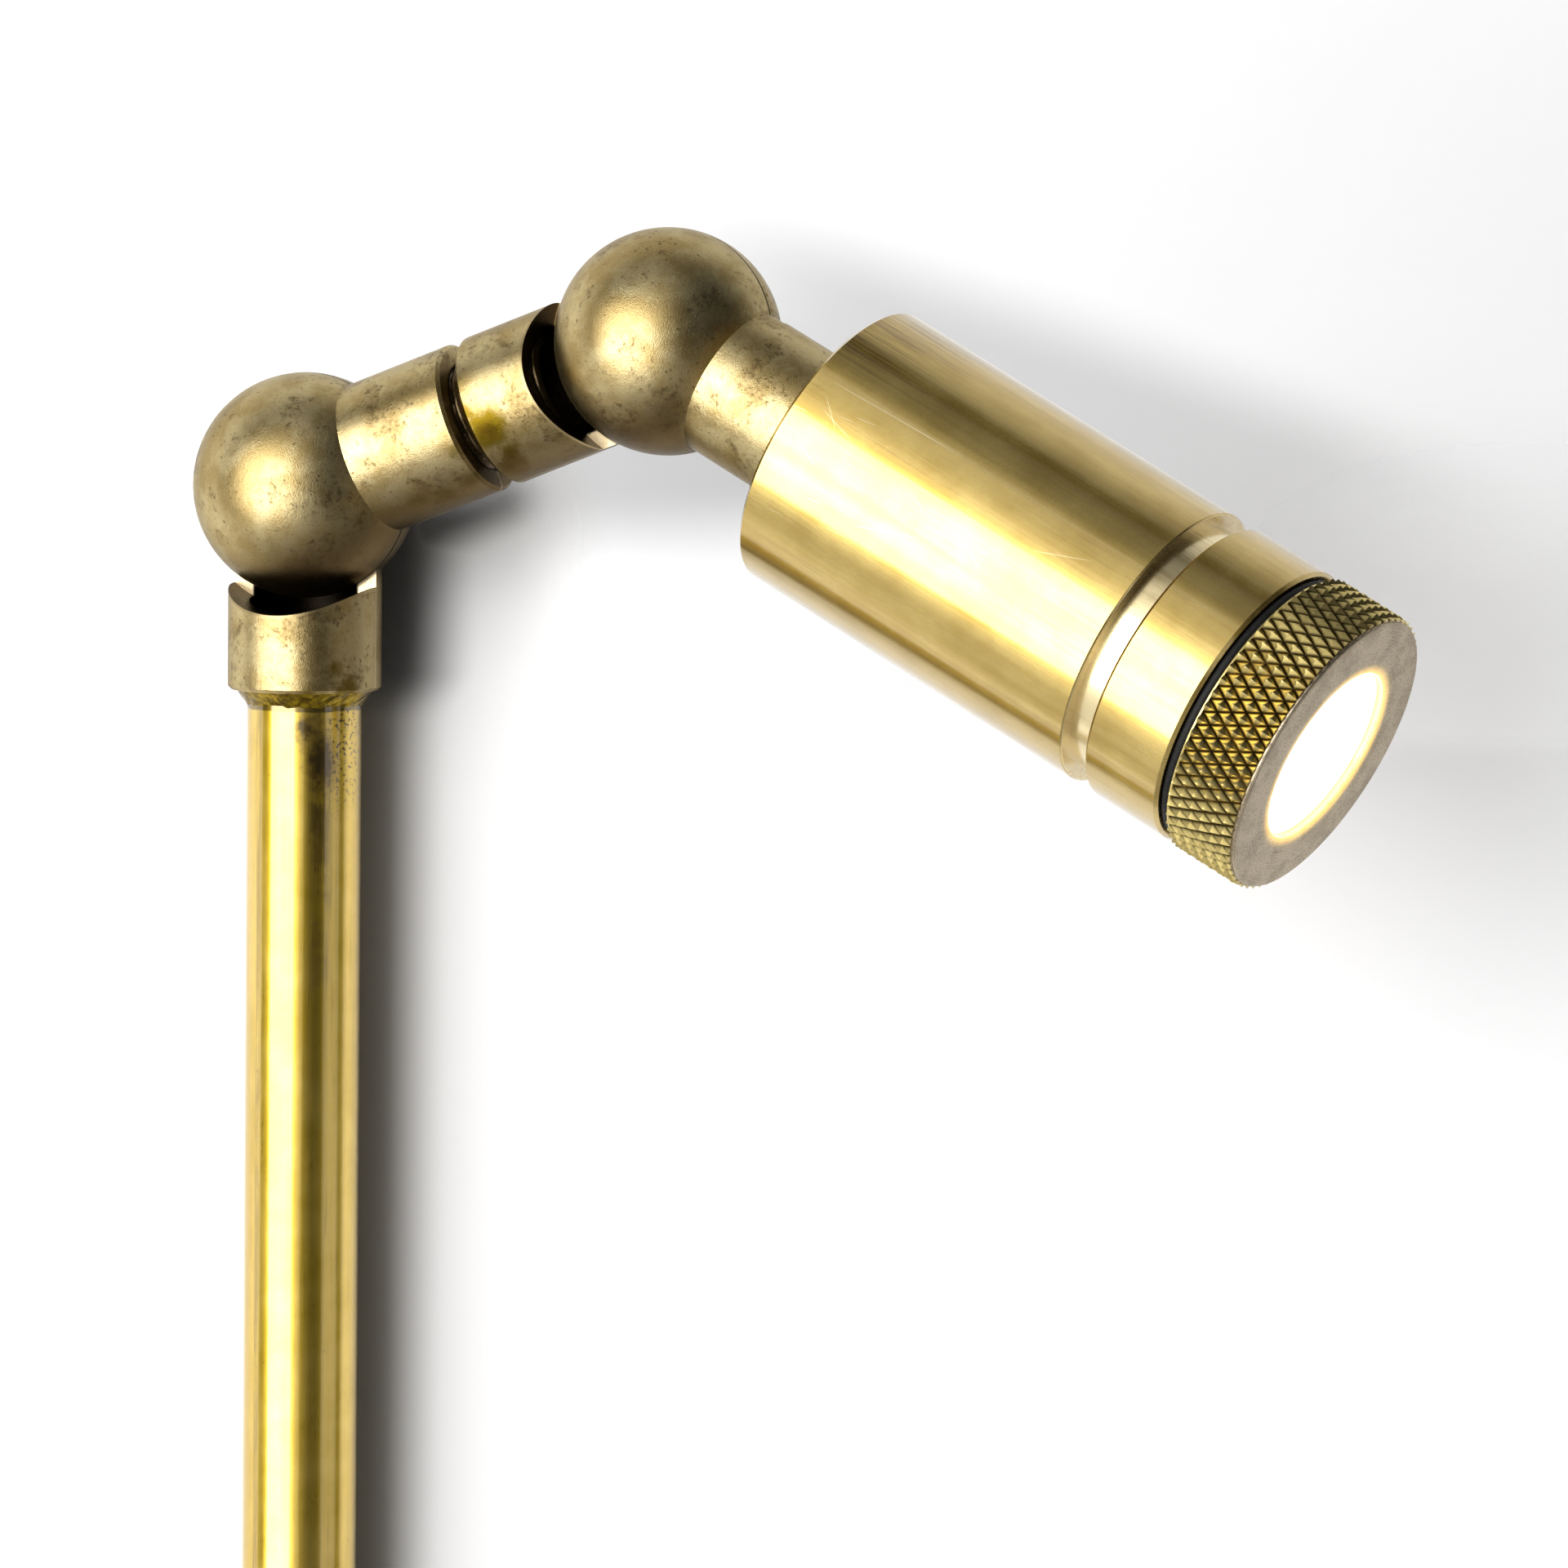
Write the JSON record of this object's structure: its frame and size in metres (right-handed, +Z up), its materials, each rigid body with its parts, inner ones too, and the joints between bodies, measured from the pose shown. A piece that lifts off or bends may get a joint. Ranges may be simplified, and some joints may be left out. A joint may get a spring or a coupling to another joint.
{
  "type": "garden spike spotlight",
  "caption": "Slim brass spike spotlight: pole with two ball knuckles, a cylindrical lamp head with a knurled bezel, ground flange and cross-blade spike.",
  "frame": {"origin": "on the pole's axis at the ground line, the underside of the ground flange", "axes": "+Z up along the pole, +X the way the arm and head bend at rest, hinge axes along Y with the screw heads on the +Y side"},
  "size_m": [0.1356, 0.06, 0.4339],
  "materials": {
    "cast_brass": "satin turned brass",
    "pole_brass": "polished drawn brass, lightly tarnished",
    "braze": "brazed fillet with flux stain",
    "aged_brass": "tumbled satin antique brass",
    "head_brass": "satin drawn brass with fine scratches",
    "knurl_brass": "diamond-knurled brass",
    "dark_thread": "oxidised thread",
    "steel": "satin",
    "aluminium": "machined",
    "black_rubber": "matt",
    "black_plastic": "matt",
    "fibre": "fibre disc",
    "circuit_board": "solder mask",
    "lead_sheath": "silicone sheath",
    "led_lens": "phosphor under a clear dome",
    "clear_optic": "moulded clear collimator",
    "front_glass": "frosted from behind, lit warm white"
  },
  "bodies": {
    "stake": {"ground_spike": "cast_brass", "ground_flange": "cast_brass", "base_hub": "cast_brass", "hub_grub_screws": "steel", "gland_body": "cast_brass", "gland_seal": "black_rubber", "gland_nut": "cast_brass", "pole_tube": "pole_brass", "braze_fillet": "braze", "pole_knuckle": "aged_brass"},
    "arm": {"arm_lower_knuckle": "aged_brass", "lower_pivot_screw": "steel", "lower_thrust_washer": "steel", "lower_spring_washer": "steel", "lower_friction_disc": "fibre", "arm_nipple": "dark_thread"},
    "elbow": {"arm_upper_knuckle": "aged_brass"},
    "head": {"head_knuckle": "aged_brass", "upper_pivot_screw": "steel", "upper_thrust_washer": "steel", "upper_spring_washer": "steel", "upper_friction_disc": "fibre", "neck_seal": "black_rubber", "head_nipple": "dark_thread", "head_lock_nut": "steel", "head_rear_cap": "head_brass", "head_tube": "head_brass", "driver_cup": "black_plastic", "driver_board": "circuit_board", "driver_components": "black_plastic", "heat_sink": "aluminium", "led_leads": "lead_sheath", "led_board": "aluminium", "led_board_screws": "steel", "led_emitter": "led_lens", "optic_holder": "black_plastic", "optic_lens": "clear_optic", "bezel_o_ring": "black_rubber"},
    "glass": {"front_glass": "front_glass", "glass_gasket": "black_rubber"},
    "bezel": {"bezel_ring": "knurl_brass"}
  },
  "joints": [
    {"name": "lower_swivel", "type": "hinge", "parent": "stake", "child": "arm", "pos_m": [0, 0, 0.26], "axis": [0, 1, 0], "range_deg": [-163.5, 26.5]},
    {"name": "arm_twist", "type": "hinge", "parent": "arm", "child": "elbow", "pos_m": [0.01749, 0, 0.26689], "axis": [0.9304, 0, 0.3665], "range_deg": [-83.6, 96.4]},
    {"name": "upper_swivel", "type": "hinge", "parent": "elbow", "child": "head", "pos_m": [0.03498, 0, 0.27378], "axis": [0.0409, 0.9938, -0.1037], "range_deg": [-144.4, 45.6]},
    {"name": "bezel_travel", "type": "slide", "parent": "head", "child": "glass", "axis": [0.882, -0.0846, -0.4635], "range_m": [0, 0.003]},
    {"name": "bezel_turn", "type": "hinge", "parent": "glass", "child": "bezel", "pos_m": [0.09381, -0.00564, 0.24286], "axis": [-0.882, 0.0846, 0.4635], "range_deg": [0, 1080.01]}
  ],
  "couplings": [
    {"joint": "bezel_turn", "follows": "bezel_travel", "rad_per_m": 6283.2}
  ]
}
